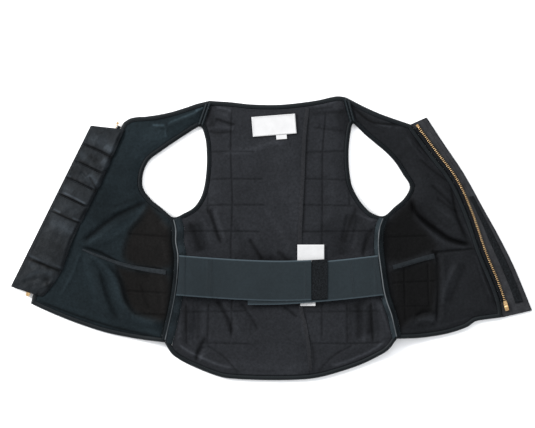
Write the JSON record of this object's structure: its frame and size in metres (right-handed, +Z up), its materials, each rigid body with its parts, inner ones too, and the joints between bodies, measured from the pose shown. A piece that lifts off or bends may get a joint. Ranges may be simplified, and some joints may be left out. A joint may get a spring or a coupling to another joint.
{
  "type": "rodeo vest",
  "caption": "Padded zip-front protective vest lying open, lining up, with a quilted back, bound armholes, an elastic belt across the back and leather flaps beside the zip.",
  "frame": {"origin": "middle of the back panel, on its flat underside", "axes": "+Z up out of the lining, +Y to the neck edge, +X to the front that carries the open zip chain; left and right in node names are those of this view from above, which are the wearer's right and left"},
  "size_m": [0.9913, 0.54, 0.0324],
  "materials": {
    "lining_back": "matt woven lining over foam squares",
    "lining_left": "matt woven lining over foam",
    "lining_right": "matt woven lining over foam",
    "binding": "smooth folded edge tape with a low sheen",
    "seam_cloth": "woven cloth",
    "piping": "light woven piping",
    "elastic": "ribbed woven elastic",
    "hook": "hook and loop pile",
    "label": "white satin label cloth, bare",
    "leather": "pebbled black leather",
    "tape": "woven zip tape",
    "brass": "worn satin brass"
  },
  "bodies": {
    "root": {"back_panel": "lining_back", "closure_strip": "lining_back", "left_front_panel": "lining_left", "right_front_panel": "lining_right", "back_neck_binding": "binding", "right_front_binding": "binding", "back_hem_binding": "binding", "left_front_binding": "binding", "left_armhole_binding": "binding", "right_armhole_binding": "binding", "left_shoulder_seam": "binding", "right_shoulder_seam": "binding", "left_side_seam": "seam_cloth", "right_side_seam": "seam_cloth", "left_pocket_band": "seam_cloth", "right_pocket_band": "seam_cloth", "left_side_piping": "piping", "right_side_piping": "piping", "belt_left": "elastic", "belt_right": "elastic", "belt_hook_patch": "hook", "placket_hook_strip": "hook", "neck_label": "label", "size_tab": "label", "care_label": "label", "care_label_tail": "label", "left_zip_guard": "leather", "right_placket": "leather", "left_zip_tape": "tape", "right_zip_tape": "tape", "left_zip_chain": "brass", "right_zip_chain": "brass", "left_zip_pin": "brass", "right_zip_pin": "brass", "left_zip_stop": "brass", "right_zip_stop": "brass"}
  },
  "joints": []
}
